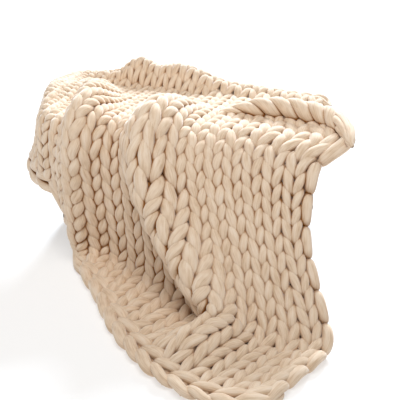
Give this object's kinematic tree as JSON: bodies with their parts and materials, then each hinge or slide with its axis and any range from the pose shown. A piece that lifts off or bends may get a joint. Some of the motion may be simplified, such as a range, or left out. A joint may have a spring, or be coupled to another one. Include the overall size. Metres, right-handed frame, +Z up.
{
  "type": "chunky knit throw blanket draped over a plain upholstered bench",
  "caption": "Chunky stockinette throw draped unevenly over a plain upholstered bench, its hem trailing on the floor in front.",
  "frame": {"origin": "centre of the bench plinth's flat underside, on the floor", "axes": "+Z up, +X to the right as seen from the front, +Y to the back; the throw's tail runs to -Y"},
  "size_m": [1.2775, 1.3683, 0.6109],
  "materials": {
    "cream_knit": "soft matte roving yarn",
    "bench_cloth": "plain matte weave",
    "bench_body_cloth": "plain matte weave",
    "dark_wood": "satin stain"
  },
  "bodies": {
    "root": {"blanket": "cream_knit", "bench_cushion": "bench_cloth", "bench_body": "bench_body_cloth", "bench_plinth": "dark_wood"}
  },
  "joints": []
}
